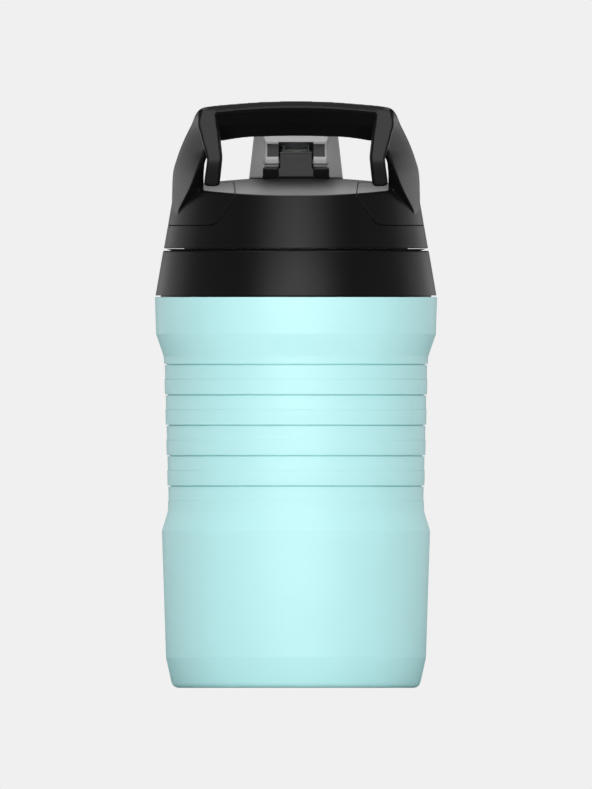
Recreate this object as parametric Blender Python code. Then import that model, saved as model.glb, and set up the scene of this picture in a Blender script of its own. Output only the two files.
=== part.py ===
"""Insulated half-gallon water jug: foam-filled body, screw lid, flip cap and hook handle.

The origin is the middle of the base, +Z is up, the drinking side is +Y and the hook side is -Y.
Sizes below are millimetres; MM turns them into Blender's metres when a mesh is made.
"""
import math

import bmesh
import bpy
from mathutils import Matrix, Vector

MM = 0.001
GAP = 0.3                      # clearance left between pieces that touch on the bench
SEGMENTS = 48                  # sides of every large turned piece
SMALL_SEGMENTS = 24            # sides of every small turned piece

# Body
RIB_COUNT = 5
RIB_PITCH = 15.51
RIB_TOP = 164.9                # upper edge of the highest grip groove
RIB_GROOVE = 7.5               # height of one groove
FILL_HOLE_R = 8.0
LINER_R = 54.3                 # inside radius of the drink cup
MOUTH_R = 52.0
RIM_Z = 239.5

# Neck, collar and lid share one cone
CONE_SLOPE = 0.1736            # radius lost per unit of height
COLLAR_BOTTOM_Z, COLLAR_BOTTOM_R = 200.1, 71.64
COLLAR_TOP_Z = 222.6
COLLAR_LIP_R, COLLAR_LIP_Z = 66.2, 223.7    # low ring under the lid's skirt
LID_BOTTOM_Z, LID_BOTTOM_R = 224.1, 67.35
DECK_TOP_Z = 260.3             # crown of the domed deck
DECK_DROP_X, DECK_DROP_Y = 0.00125, 0.00239
LID_SKIN = 4.2                 # wall of the lid, which takes the inset handle feet
FOOT_DEPTH = 2.7

# Screw thread between neck and lid
NECK_R = 55.0
THREAD_LEAD = 6.0
THREAD_TURNS = 1.25
MALE_CREST_R = 56.5
FEMALE_WALL_R = 57.6
FEMALE_CREST_R = 55.6
MALE_START_Z = 229.0
LINER_PLATE_Z, LINER_PLATE_T = 241.5, 2.5
LINER_RING_R = 59.2
LINER_RING_BOTTOM_Z = 225.2

# Flip cap and its hinge
HINGE_Y, HINGE_Z = -9.0, 267.9
BARREL_R, PIN_R, PIN_HOLE_R = 2.8, 1.5, 1.8
BARREL_IN_X, BARREL_OUT_X = 8.8, 15.8
CAP_TOP_Z, CAP_WALL = 284.0, 2.2
CAP_MID_Z = 259.4              # height at which the cap's plan outline is given
CAP_DRAFT = 0.1137
WINDOW_X, WINDOW_TOP_Z = 9.1, 278.3
SPOUT_Y, SPOUT_BORE_R, SPOUT_TOP_Z = 30.0, 6.0, 275.0

# Latch button
BUTTON_X = 9.6
BUTTON_IN_Y = 50.9

# Handle
SCREW_SPOTS = ((38.5, -32.0), (45.5, -18.0))
BOSS_R, SCREW_R = 3.6, 1.6


def colour(code):
    """Linear colour from an sRGB hex code."""
    channels = [int(code[i:i + 2], 16) / 255 for i in (0, 2, 4)]
    return [c / 12.92 if c <= 0.04045 else ((c + 0.055) / 1.055) ** 2.4 for c in channels] + [1.0]


def plastic(name, code, roughness, metallic=0.0):
    material = bpy.data.materials.new(name)
    material.use_nodes = True
    shader = material.node_tree.nodes["Principled BSDF"]
    shader.inputs["Base Color"].default_value = colour(code)
    shader.inputs["Roughness"].default_value = roughness
    shader.inputs["Metallic"].default_value = metallic
    return material


def finish(name, bm, material):
    """Close a bmesh into a named, outward-facing object."""
    bmesh.ops.recalc_face_normals(bm, faces=bm.faces)
    mesh = bpy.data.meshes.new(name)
    bm.to_mesh(mesh)
    bm.free()
    mesh.materials.append(material)
    mesh.shade_smooth()
    mesh.set_sharp_from_angle(angle=math.radians(30))
    thing = bpy.data.objects.new(name, mesh)
    bpy.context.scene.collection.objects.link(thing)
    return thing


def skin(name, rings, material, closed):
    """Join rings of points in order; a ring of one point is a pole, and open ends are filled."""
    bm = bmesh.new()
    made = [[bm.verts.new(Vector(p) * MM) for p in ring] for ring in rings]
    for a, b in zip(made, made[1:] + (made[:1] if closed else [])):
        for k in range(max(len(a), len(b))):
            corners = (a[k % len(a)], a[(k + 1) % len(a)], b[(k + 1) % len(b)], b[k % len(b)])
            bm.faces.new(list(dict.fromkeys(corners)))
    if not closed:
        for ring in (made[0], made[-1]):
            if len(ring) > 1:
                bm.faces.new(ring)
    return finish(name, bm, material)


def circle(radius, height, segments, centre):
    if radius == 0:
        return [(centre[0], centre[1], height)]
    turns = [2 * math.pi * k / segments for k in range(segments)]
    return [(centre[0] + radius * math.cos(t), centre[1] + radius * math.sin(t), height) for t in turns]


def turned(name, outline, material, segments=SEGMENTS, centre=(0, 0)):
    """Turn an outline of (radius, height) about a vertical axis."""
    rings = [circle(r, z, segments, centre) for r, z in outline]
    return skin(name, rings, material, closed=outline[0][0] > 0)


def rod(name, radius, start_x, end_x, material, segments=SMALL_SEGMENTS):
    """A round bar along X on the cap's hinge axis."""
    rings = []
    for x in (start_x, end_x):
        turns = [2 * math.pi * k / segments for k in range(segments)]
        rings.append([(x, HINGE_Y + radius * math.cos(t), HINGE_Z + radius * math.sin(t)) for t in turns])
    return skin(name, rings, material, closed=False)


def block(name, low, high, material):
    base = [(low[0], low[1]), (high[0], low[1]), (high[0], high[1]), (low[0], high[1])]
    return skin(name, [[(x, y, z) for x, y in base] for z in (low[2], high[2])], material, closed=False)


def tube(name, path, radius, sides, material):
    """A wire of round section along a path of points."""
    points = [Vector(p) for p in path]
    rings = []
    side = None
    for k, point in enumerate(points):
        ahead = (points[min(k + 1, len(points) - 1)] - points[max(k - 1, 0)]).normalized()
        if side is None:
            side = ahead.orthogonal()
        side = (side - ahead * side.dot(ahead)).normalized()
        up = ahead.cross(side)
        turns = [2 * math.pi * j / sides for j in range(sides)]
        rings.append([point + (side * math.cos(t) + up * math.sin(t)) * radius for t in turns])
    return skin(name, rings, material, closed=False)


def helper(thing):
    """Hide a shape that only cuts or joins another."""
    thing.hide_render = True
    thing.display_type = 'WIRE'
    return thing


def combine(thing, other, operation):
    modifier = thing.modifiers.new(other.name, 'BOOLEAN')
    modifier.operation = operation
    modifier.solver = 'EXACT'
    modifier.object = helper(other)
    return thing


def grown(outline, amount):
    """Offset a closed anticlockwise outline outwards."""
    result = []
    for k, point in enumerate(outline):
        before, here, after = Vector(outline[k - 1]), Vector(point), Vector(outline[(k + 1) % len(outline)])
        a, b = (here - before).normalized(), (after - here).normalized()
        out_a, out_b = Vector((a.y, -a.x)), Vector((b.y, -b.x))
        middle = (out_a + out_b).normalized()
        result.append(tuple(here + middle * (amount / max(middle.dot(out_a), 0.3))))
    return result


def cone_radius(z, depth=0.0):
    """Radius of the shared cone, taken a depth inside the lid's outer face."""
    return LID_BOTTOM_R - (z - LID_BOTTOM_Z) * CONE_SLOPE - depth


def deck_height(x, y, depth=0.0):
    return DECK_TOP_Z - DECK_DROP_X * x * x - DECK_DROP_Y * y * y - depth


def deck_edge(turn, depth):
    """Radius and height at which the deck meets the cone, for one direction."""
    z = DECK_TOP_Z
    for _ in range(12):
        r = cone_radius(z, depth)
        z = deck_height(r * math.cos(turn), r * math.sin(turn), depth)
    return r, z


def lid_rings(depth, bottom_z):
    """Rings of the lid's outside form, from its bottom edge to the crown of the deck."""
    turns = [2 * math.pi * k / SEGMENTS for k in range(SEGMENTS)]
    rings = [circle(cone_radius(bottom_z, depth), bottom_z, SEGMENTS, (0, 0))]
    for share in (1.0, 0.72, 0.4):
        ring = []
        for turn in turns:
            radius = deck_edge(turn, depth)[0] * share
            x, y = radius * math.cos(turn), radius * math.sin(turn)
            ring.append((x, y, deck_height(x, y, depth)))
        rings.append(ring)
    return rings + [[(0, 0, deck_height(0, 0, depth))]]


def lid_form(name, depth, bottom_z, material):
    return skin(name, lid_rings(depth, bottom_z), material, closed=False)


# ---------------------------------------------------------------- body

def shell_outline():
    """Outside of the body from the base up, then the inside back down."""
    outside = [(46.0, 0.0), (59.0, 0.0), (62.2, 1.2), (63.7, 4.0), (66.3, 15.5), (68.36, 80.0),
               (65.8, 88.4), (65.3, 90.7)]
    for k in reversed(range(RIB_COUNT)):
        top = RIB_TOP - k * RIB_PITCH
        bottom = top - RIB_GROOVE
        ridge = 65.2 + (top - 95.0) * 2.2 / 73.0
        floor = ridge - 0.4
        outside += [(ridge - 0.45, bottom - 0.15), (floor - 0.15, bottom + 0.15),
                    (floor, top - 0.25), (ridge, top + 0.25)]
    outside += [(67.44, 168.2), (68.05, 171.3), (71.38, 180.5), (71.95, 198.4), (71.4, 199.3)]
    inside = [(69.45, 199.3), (69.2, 184.0), (66.0, 172.0), (62.3, 166.0), (62.3, 92.0), (65.4, 80.0),
              (63.8, 15.5), (60.5, 3.0), (48.0, 3.0), (44.0, 6.0), (FILL_HOLE_R, 6.0),
              (FILL_HOLE_R, 3.2), (42.0, 3.2)]
    return outside + inside


def make_body(aqua, foam, food_plastic, black):
    turned("outer_shell", shell_outline(), aqua)
    turned("foam_insulation",
           [(0, 6.3), (43.8, 6.3), (48.2, 3.3), (60.2, 3.3), (63.4, 15.6), (65.0, 79.7), (61.9, 92.0),
            (61.9, 166.2), (65.5, 172.2), (66.2, 176.0), (66.2, 212.4), (64.2, 216.0),
            (56.7, 216.0), (56.7, 11.0), (0, 11.0)],
           foam)
    liner = turned("inner_liner",
                   [(0, 11.4), (53.3, 11.4), (56.3, 14.4), (56.3, 216.4), (57.9, 216.8), (57.9, 219.4),
                    (57.0, 219.4), (57.0, 224.6), (NECK_R, 225.4), (NECK_R, RIM_Z - 0.6),
                    (NECK_R - 0.6, RIM_Z), (MOUTH_R + 0.5, RIM_Z), (MOUTH_R, RIM_Z - 0.6), (MOUTH_R, 222.0),
                    (LINER_R, 214.0), (LINER_R, 17.0), (50.5, 13.4), (0, 13.4)],
                   food_plastic)
    combine(liner, thread("neck_thread", NECK_R, MALE_CREST_R, MALE_START_Z, 0.0, food_plastic), 'UNION')
    turned("fill_plug", [(0, 3.6), (FILL_HOLE_R - GAP, 3.6), (FILL_HOLE_R - GAP, 5.9), (0, 5.9)],
           aqua, SMALL_SEGMENTS)
    turned("neck_collar",
           [(COLLAR_BOTTOM_R, COLLAR_BOTTOM_Z), (67.9, 221.8), (67.6, 222.4), (66.9, COLLAR_TOP_Z),
            (COLLAR_LIP_R, COLLAR_TOP_Z), (COLLAR_LIP_R, COLLAR_LIP_Z), (57.5, COLLAR_LIP_Z), (57.5, 219.8), (64.6, 219.8), (66.6, 213.0), (66.6, 194.0),
            (69.0, 194.0), (69.0, COLLAR_BOTTOM_Z)],
           black)


def thread(name, root_r, crest_r, start_z, start_turn, material):
    """One helical ridge, buried a little in the wall that carries it, with faded ends."""
    steps = int(THREAD_TURNS * SEGMENTS)
    bury = 0.5 if crest_r > root_r else -0.5
    rings = []
    for k in range(steps + 1):
        fade = min(1.0, 0.15 + min(k, steps - k) / 5)
        turn = 2 * math.pi * (start_turn + k / SEGMENTS)
        z = start_z + THREAD_LEAD * k / SEGMENTS
        reach = root_r + (crest_r - root_r) * fade
        section = ((root_r - bury, -1.9), (reach, -0.6), (reach, 0.6), (root_r - bury, 1.9))
        rings.append([(r * math.cos(turn), r * math.sin(turn), z + dz) for r, dz in section])
    return skin(name, rings, material, closed=False)


# ---------------------------------------------------------------- lid

def foot_prisms(side, spread, name, material):
    """The inset foot's outline from the front and from above, as two long prisms."""
    front = [(80, 235.7), (80, 275), (30.2, 275), (30.2, 251.5), (36.7, 242.2), (42.3, 235.7)]
    plan = [(30.0, -80), (80, -80), (80, 9), (61.0, 3.0), (50.0, -6.0), (38.0, -15.6), (33.0, -21.5),
            (31.5, -29.0)]
    front = grown(front, spread)
    plan = grown(plan, spread)
    forward = skin(name + "_front", [[(side * x, y, z) for x, z in front] for y in (-90, 40)],
                   material, closed=False)
    above = skin(name + "_plan", [[(side * x, y, z) for x, y in plan] for z in (228, 290)],
                 material, closed=False)
    return combine(above, forward, 'INTERSECT')


def make_lid(black, food_plastic, silicone):
    outer, inner = lid_rings(0, LID_BOTTOM_Z), lid_rings(LID_SKIN, LID_BOTTOM_Z)
    shell = skin("lid_shell", outer[::-1] + inner, black, closed=False)
    for side, word in ((1, "right"), (-1, "left")):
        pocket = foot_prisms(side, GAP, "pocket_" + word, black)
        core = lid_form("pocket_core_" + word, FOOT_DEPTH + GAP, LID_BOTTOM_Z - 9, black)
        combine(shell, combine(pocket, core, 'DIFFERENCE'), 'DIFFERENCE')
        for k, (x, y) in enumerate(SCREW_SPOTS):
            hole = turned(f"boss_hole_{word}_{k}", [(0, 238), (BOSS_R + 0.4, 238), (BOSS_R + 0.4, 256), (0, 256)],
                          black, SMALL_SEGMENTS // 2, (side * x, y))
            combine(shell, hole, 'DIFFERENCE')
    spout_hole = turned("deck_spout_hole", [(0, 240), (9.4, 240), (9.4, 270), (0, 270)],
                        black, SMALL_SEGMENTS, (0, SPOUT_Y))
    combine(shell, spout_hole, 'DIFFERENCE')
    combine(shell, block("button_notch", (-BUTTON_X - 0.4, 47.8, 245.4), (BUTTON_X + 0.4, 75, 275), black),
            'DIFFERENCE')
    combine(shell, block("spring_seat", (-4.0, 40.0, 245.2), (4.0, 42.4, 253.4), black), 'UNION')

    plate_top = LINER_PLATE_Z + LINER_PLATE_T
    liner = turned("lid_liner",
                   [(0, LINER_PLATE_Z), (FEMALE_WALL_R, LINER_PLATE_Z), (FEMALE_WALL_R, LINER_RING_BOTTOM_Z),
                    (LINER_RING_R, LINER_RING_BOTTOM_Z), (LINER_RING_R, plate_top - 0.6),
                    (LINER_RING_R - 0.6, plate_top), (0, plate_top)],
                   food_plastic)
    combine(liner, thread("lid_thread", FEMALE_WALL_R, FEMALE_CREST_R, MALE_START_Z - 1.5, 0.25, food_plastic),
            'UNION')
    combine(liner, turned("plate_spout_hole", [(0, 235), (9.4, 235), (9.4, 250), (0, 250)],
                          food_plastic, SMALL_SEGMENTS, (0, SPOUT_Y)), 'DIFFERENCE')

    turned("lid_gasket", [(51.2, 239.8), (55.2, 239.8), (55.2, 241.2), (51.2, 241.2)], silicone)
    turned("spout",
           [(SPOUT_BORE_R, 238.0), (13.0, 238.0), (13.0, 241.2), (9.0, 241.2), (9.0, 262.0),
            (8.3, SPOUT_TOP_Z - 1.2), (7.6, SPOUT_TOP_Z), (6.8, SPOUT_TOP_Z), (SPOUT_BORE_R, SPOUT_TOP_Z - 1.0)],
           food_plastic, SMALL_SEGMENTS, (0, SPOUT_Y))


# ---------------------------------------------------------------- handle

# One half of the carrying strap, from the foot up over the shoulder to the middle of the grip: front edge,
# middle and rear edge of the outside face, then the inside face's rear and front edge.
STRAP = (
    ((60.6, -21.5, 240.5), (62.9, -12.0, 241.0), (63.6, -5.0, 241.0), (57.5, -5.0, 241.0), (55.0, -21.0, 240.5)),
    ((59.5, -26.0, 244.2), (63.0, -12.6, 245.5), (63.3, -5.0, 245.5), (57.3, -5.0, 245.5), (53.5, -25.5, 244.2)),
    ((57.3, -31.5, 248.5), (63.1, -13.5, 250.0), (63.0, -5.3, 250.2), (57.0, -5.3, 250.2), (51.5, -32.5, 248.5)),
    ((55.1, -36.6, 252.8), (63.0, -14.0, 254.5), (62.8, -5.8, 254.4), (56.8, -5.8, 254.4), (48.2, -39.8, 252.4)),
    ((53.0, -41.2, 257.2), (63.0, -14.8, 259.0), (62.4, -6.6, 258.2), (56.4, -6.6, 258.2), (47.5, -41.0, 257.2)),
    ((50.9, -45.0, 262.7), (62.5, -16.5, 264.3), (61.6, -8.5, 262.5), (55.6, -8.5, 262.0), (47.4, -43.0, 262.7)),
    ((48.9, -47.4, 268.5), (61.2, -19.5, 269.5), (59.9, -11.5, 266.5), (54.2, -11.5, 265.2), (46.7, -45.4, 268.5)),
    ((46.7, -48.6, 275.0), (58.9, -23.5, 276.0), (56.8, -15.8, 271.6), (51.6, -15.8, 269.4), (44.0, -46.6, 273.6)),
    ((47.4, -49.0, 281.5), (56.1, -27.8, 282.3), (53.3, -19.8, 276.2), (48.6, -19.8, 273.0), (43.0, -46.6, 278.5)),
    ((49.4, -49.2, 287.6), (53.0, -32.0, 287.8), (49.8, -22.6, 279.4), (45.8, -22.6, 275.6), (43.6, -46.6, 284.6)),
    ((49.6, -49.2, 292.0), (51.2, -34.2, 290.7), (46.6, -24.6, 282.4), (43.2, -24.6, 277.8), (43.0, -46.6, 288.0)),
    ((48.3, -49.3, 295.4), (48.0, -36.3, 292.3), (43.0, -25.6, 283.8), (40.6, -25.6, 278.5), (42.4, -47.5, 290.4)),
    ((43.5, -49.5, 296.8), (42.0, -37.8, 292.4), (37.5, -26.4, 284.5), (37.0, -26.4, 279.0), (42.0, -49.0, 291.3)),
    ((30.0, -49.8, 298.26), (29.0, -38.4, 293.2), (26.0, -27.0, 286.4), (26.0, -27.0, 280.9), (30.0, -49.8, 292.76)),
    ((15.0, -50.0, 299.26), (14.5, -38.7, 293.9), (13.0, -27.2, 286.85), (13.0, -27.2, 281.35), (15.0, -50.0, 293.76)),
    ((0.0, -50.0, 299.6), (0.0, -38.8, 294.2), (0.0, -27.3, 287.0), (0.0, -27.3, 281.5), (0.0, -50.0, 294.1)),
)

# Each prong from the grip down to its free end: height, inner and outer x, front and rear y.
PRONG = (
    (295.0, 41.4, 48.4, -49.4, -45.4),
    (288.0, 40.6, 49.5, -50.2, -45.6),
    (283.0, 39.8, 48.0, -50.9, -46.0),
    (278.8, 39.4, 46.9, -51.4, -46.6),
    (271.0, 38.6, 45.2, -52.0, -47.2),
    (266.0, 38.9, 45.6, -51.9, -47.3),
    (258.4, 39.7, 46.5, -50.6, -46.6),
    (256.9, 39.9, 46.1, -50.3, -46.8),
    (256.1, 41.2, 44.6, -50.1, -47.0),
)
PRONG_DRAFT = 0.9                  # how much a prong's inner side widens towards its back


def strap_sections():
    """The strap's closed sections from the right foot, over the grip, to the left foot."""
    half = []
    for row in STRAP:
        front, middle, rear, inner_rear, inner_front = (Vector(p) for p in row)
        half.append([front, middle, rear, inner_rear, middle + inner_rear - rear, inner_front])
    other = [[Vector((-p.x, p.y, p.z)) for p in section] for section in reversed(half[:-1])]
    return half + other


def make_handle(black, steel):
    handle = skin("handle", strap_sections(), black, closed=False)
    for side, word in ((1, "right"), (-1, "left")):
        rings = [[(side * a, f, z), (side * b, f, z), (side * b, r, z), (side * (a - PRONG_DRAFT), r, z)]
                 for z, a, b, f, r in PRONG]
        combine(handle, skin("prong_" + word, rings, black, closed=False), 'UNION')
        foot = foot_prisms(side, 0.0, "foot_" + word, black)
        combine(foot, lid_form("foot_form_" + word, 0.0, LID_BOTTOM_Z, black), 'INTERSECT')
        combine(handle, foot, 'UNION')
    combine(handle, lid_form("foot_core", FOOT_DEPTH, LID_BOTTOM_Z - 9, black), 'DIFFERENCE')
    number = 0
    for side, word in ((1, "right"), (-1, "left")):
        for k, (x, y) in enumerate(SCREW_SPOTS):
            number += 1
            seat = deck_height(x, y, LID_SKIN)
            spot = (side * x, y)
            boss = [(0, seat), (BOSS_R, seat), (BOSS_R, seat + 2.6), (0, seat + 2.6)]
            combine(handle, turned(f"boss_{word}_{k}", boss, black, SMALL_SEGMENTS // 2, spot), 'UNION')
            tip = seat + 2.9
            hole = [(0, seat - 1), (SCREW_R + GAP, seat - 1), (SCREW_R + GAP, tip + GAP), (0, tip + GAP)]
            combine(handle, turned(f"screw_hole_{word}_{k}", hole, black, SMALL_SEGMENTS // 2, spot), 'DIFFERENCE')
            head = seat - 1.5
            screw = [(0, head - 2.0), (3.4, head - 2.0), (5.2, head - 0.6), (5.2, head), (SCREW_R, head),
                     (SCREW_R, tip), (0, tip)]
            turned(f"handle_screw_{number}", screw, steel, SMALL_SEGMENTS // 2, spot)


# ---------------------------------------------------------------- flip cap

CAP_PLAN = ((16.9, -11.3), (24.0, 3.0), (24.0, 40.0), (23.0, 46.5), (19.6, 52.4), (13.0, 56.4), (5.0, 57.8))


def cap_form(name, inset, low_z, high_z, material):
    half = [(x, y) for x, y in CAP_PLAN]
    plan = half + [(-x, y) for x, y in reversed(half)]
    rings = []
    for z in (low_z, high_z):
        outline = grown(plan, -inset - (z - CAP_MID_Z) * CAP_DRAFT)
        rings.append([(x, y, z) for x, y in outline])
    return skin(name, rings, material, closed=False)


def make_cap(black, silicone):
    ceiling = CAP_TOP_Z - 2.5
    cap = cap_form("flip_cap", 0.0, 250.0, CAP_TOP_Z, black)
    chamfer = [(-30.0, 278.1), (-11.6, 278.1), (-3.5, 286.0), (-30.0, 286.0)]
    combine(cap, skin("nose_chamfer", [[(x, y, z) for y, z in chamfer] for x in (-40, 40)], black, closed=False),
            'DIFFERENCE')
    hollow = cap_form("cap_hollow", CAP_WALL, 245.0, ceiling, black)
    under = [(-30.0, 275.6), (-10.0, 275.6), (-3.0, 282.6), (-3.0, 290.0), (-30.0, 290.0)]
    combine(hollow, skin("hollow_chamfer", [[(x, y, z) for y, z in under] for x in (-50, 50)], black,
                         closed=False), 'DIFFERENCE')
    combine(cap, hollow, 'DIFFERENCE')
    combine(cap, lid_form("deck_clearance", -0.45, LID_BOTTOM_Z - 5, black), 'DIFFERENCE')
    combine(cap, block("hinge_relief", (-16.9, -30, 240), (16.9, -3.0, HINGE_Z), black), 'DIFFERENCE')
    combine(cap, block("cheek_relief", (-40, -30, 240), (40, -7.5, 262.0), black), 'DIFFERENCE')
    for side, word in ((1, "right"), (-1, "left")):
        barrel = rod("barrel_" + word, BARREL_R, side * BARREL_IN_X, side * BARREL_OUT_X, black)
        combine(cap, barrel, 'UNION')
    combine(cap, block("spring_window", (-WINDOW_X + 0.4, -30, 240), (WINDOW_X - 0.4, -5.0, WINDOW_TOP_Z), black),
            'DIFFERENCE')
    combine(cap, rod("cap_pin_hole", PIN_HOLE_R, -20, 20, black, SMALL_SEGMENTS // 2), 'DIFFERENCE')
    combine(cap, block("catch", (-7.0, 54.8, 254.4), (7.0, 56.6, 256.6), black), 'UNION')
    turned("spout_seal",
           [(0, 274.0), (5.3, 274.0), (5.3, 275.3), (9.2, 275.3), (9.2, 278.4), (5.0, 278.4), (5.0, ceiling - GAP),
            (0, ceiling - GAP)],
           silicone, SMALL_SEGMENTS, (0, SPOUT_Y))


def make_hinge(black, steel):
    base = block("hinge_base", (-16.5, -17.0, 255.0), (16.5, -4.6, 264.7), black)
    combine(base, block("tower_gap", (-9.2, -30.0, 260.8), (9.2, -13.2, 270.0), black), 'DIFFERENCE')
    combine(base, block("spring_house", (-8.3, -13.2, 258.0), (8.3, -4.8, 273.3), black), 'UNION')
    combine(base, block("spring_pocket", (-7.1, -12.2, 264.3), (7.1, -5.8, 280.0), black), 'DIFFERENCE')
    combine(base, lid_form("base_clearance", -GAP, LID_BOTTOM_Z - 5, black), 'DIFFERENCE')
    combine(base, rod("base_pin_hole", PIN_HOLE_R, -9.0, 9.0, black, SMALL_SEGMENTS // 2), 'DIFFERENCE')
    rod("hinge_pin", PIN_R, -BARREL_OUT_X, BARREL_OUT_X, steel, SMALL_SEGMENTS // 2)

    turns, steps, coil_r, half_width = 4.5, 10, 2.35, 6.2
    path = [(-half_width, HINGE_Y + coil_r, 276.6)]
    total = int(turns * steps)
    for k in range(total + 1):
        turn = -2 * math.pi * k / steps
        x = -half_width + 2 * half_width * k / total
        path.append((x, HINGE_Y + coil_r * math.cos(turn), HINGE_Z + coil_r * math.sin(turn)))
    path.append((half_width, HINGE_Y - coil_r, 276.6))
    tube("cap_spring", path, 0.4, 5, steel)


def make_button(black, steel):
    face = [(BUTTON_IN_Y, 246.0), (62.9, 246.0), (62.3, 251.4), (BUTTON_IN_Y, 252.9)]
    button = skin("latch_button", [[(x, y, z) for y, z in face] for x in (-BUTTON_X, BUTTON_X)], black,
                  closed=False)
    combine(button, block("latch_post", (-6.0, BUTTON_IN_Y + 0.1, 250.0), (6.0, 53.0, 259.6), black), 'UNION')
    combine(button, block("latch_nose", (-6.0, 52.0, 257.4), (6.0, 54.3, 259.2), black), 'UNION')
    combine(button, block("spring_bore", (-2.9, 45.0, 246.6), (2.9, BUTTON_IN_Y + 4.2, 250.4), black),
            'DIFFERENCE')
    turns, steps, coil_r = 5, 9, 1.45
    total = turns * steps
    start_y, end_y = 43.2, 52.0
    path = []
    for k in range(total + 1):
        turn = 2 * math.pi * k / steps
        y = start_y + (end_y - start_y) * k / total
        path.append((coil_r * math.cos(turn), y, 248.5 + coil_r * math.sin(turn)))
    tube("button_spring", path, 0.3, 5, steel)


# ---------------------------------------------------------------- assembly

MOVING = {
    "lid_axis": ((0, 0, LID_BOTTOM_Z),
                 ("lid_gasket", "lid_shell", "lid_liner", "handle", "handle_screw_1", "handle_screw_2",
                  "handle_screw_3", "handle_screw_4", "spout", "hinge_base", "hinge_pin", "cap_spring",
                  "button_spring")),
    "cap_axis": ((0, HINGE_Y, HINGE_Z), ("flip_cap", "spout_seal")),
    "button_axis": ((0, BUTTON_IN_Y, 249.0), ("latch_button",)),
}


def parent_moving_pieces():
    """Hang every moving piece on an empty that stands on its joint's axis."""
    for name, (place, pieces) in MOVING.items():
        axis = bpy.data.objects.new(name, None)
        axis.location = Vector(place) * MM
        bpy.context.scene.collection.objects.link(axis)
        for piece in pieces:
            thing = bpy.data.objects[piece]
            thing.parent = axis
            thing.matrix_parent_inverse = Matrix.Translation(axis.location).inverted()


def main():
    for thing in list(bpy.data.objects):
        bpy.data.objects.remove(thing)
    aqua = plastic("aqua_polyethylene", "B4E4E5", 0.42)
    black = plastic("black_polypropylene", "202022", 0.38)
    food_plastic = plastic("natural_polypropylene", "E6E7E4", 0.4)
    foam = plastic("urethane_foam", "E9DDB0", 0.9)
    silicone = plastic("grey_silicone", "8E9294", 0.55)
    steel = plastic("stainless_steel", "C9CBCD", 0.3, 1.0)
    make_body(aqua, foam, food_plastic, black)
    make_lid(black, food_plastic, silicone)
    make_handle(black, steel)
    make_hinge(black, steel)
    make_cap(black, silicone)
    make_button(black, steel)
    parent_moving_pieces()


main()
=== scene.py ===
"""Insulated jug with grooved body, screw lid, flip cap and hook handle: the finished look round the frame.

Lengths in the code are millimetres and become Blender's metres when a mesh is made. +Z is up, the
handle's hooks face -Y and the spout is on the +Y side.
"""
import math

import bmesh
import bpy
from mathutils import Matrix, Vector


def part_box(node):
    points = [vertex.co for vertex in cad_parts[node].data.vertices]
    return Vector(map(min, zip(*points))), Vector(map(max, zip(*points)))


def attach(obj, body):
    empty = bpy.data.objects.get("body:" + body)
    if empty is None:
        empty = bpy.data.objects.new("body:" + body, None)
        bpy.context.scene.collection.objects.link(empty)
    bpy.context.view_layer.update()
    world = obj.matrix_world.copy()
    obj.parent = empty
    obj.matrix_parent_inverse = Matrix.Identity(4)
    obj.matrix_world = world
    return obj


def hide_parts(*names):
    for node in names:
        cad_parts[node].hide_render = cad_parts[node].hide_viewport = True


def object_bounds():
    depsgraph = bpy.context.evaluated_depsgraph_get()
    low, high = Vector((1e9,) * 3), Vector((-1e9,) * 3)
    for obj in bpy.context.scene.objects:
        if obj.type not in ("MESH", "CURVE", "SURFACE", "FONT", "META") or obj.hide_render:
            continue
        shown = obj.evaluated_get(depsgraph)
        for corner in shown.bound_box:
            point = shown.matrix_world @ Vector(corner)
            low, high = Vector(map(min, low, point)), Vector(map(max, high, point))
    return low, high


bl_info = {
    "name": "Insulated Hook-Handle Jug",
    "version": (1, 0, 0),
    "blender": (4, 5, 0),
    "location": "View3D > Sidebar > Jug",
    "description": "Builds a foam-insulated water jug with a screw lid, flip cap and hook handle",
    "category": "Object",
}

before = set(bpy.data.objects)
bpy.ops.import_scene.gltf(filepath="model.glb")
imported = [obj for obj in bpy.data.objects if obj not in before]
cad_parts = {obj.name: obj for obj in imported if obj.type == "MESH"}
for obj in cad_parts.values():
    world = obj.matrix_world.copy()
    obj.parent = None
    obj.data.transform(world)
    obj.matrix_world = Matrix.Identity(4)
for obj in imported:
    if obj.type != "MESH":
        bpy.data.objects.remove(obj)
CAD_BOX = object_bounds()

MM = 0.001
HUB = 1.0                          # radius of the small circle that a turned profile is swept round
ROUND = 192                        # sides of a large turned piece
DECK_TOP = 260.3                   # crown of the lid's domed deck
DECK_DROP_X, DECK_DROP_Y = 0.00125, 0.00239
LID_BOTTOM, LID_BOTTOM_R = 224.1, 67.35
CONE_SLOPE = 0.1736
LID_SKIN, FOOT_DEPTH, SEAM = 4.2, 2.7, 0.12
HINGE_Y, HINGE_Z = -9.0, 267.9
BARREL_R, PIN_R, PIN_HOLE_R, HINGE_HALF = 2.8, 1.5, 1.8, 15.8
SPOUT_Y, SPOUT_HOLE_R = 30.0, 9.4
THREAD_LEAD, THREAD_TURNS = 6.0, 1.25
GROOVE_TOP, GRIP_RADIUS = 164.9, 67.3      # upper edge and ridge radius of the topmost groove


# ---------------------------------------------------------------- settings

class JugBodySettings(bpy.types.PropertyGroup):
    """Sizes and colour of the grooved body."""
    colour: bpy.props.FloatVectorProperty(
        name="Body colour", description="Colour of the moulded body, in sRGB", subtype='COLOR_GAMMA',
        size=3, min=0, max=1, default=(0.735, 0.931, 0.935))
    grooves: bpy.props.IntProperty(
        name="Grip grooves", description="Number of grooves round the waist", default=5, min=1, max=8)
    groove_pitch: bpy.props.FloatProperty(
        name="Groove pitch", description="Height from one groove to the next", default=0.01551,
        unit='LENGTH')
    groove_height: bpy.props.FloatProperty(
        name="Groove height", description="Height of one groove", default=0.0075, unit='LENGTH')


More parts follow.
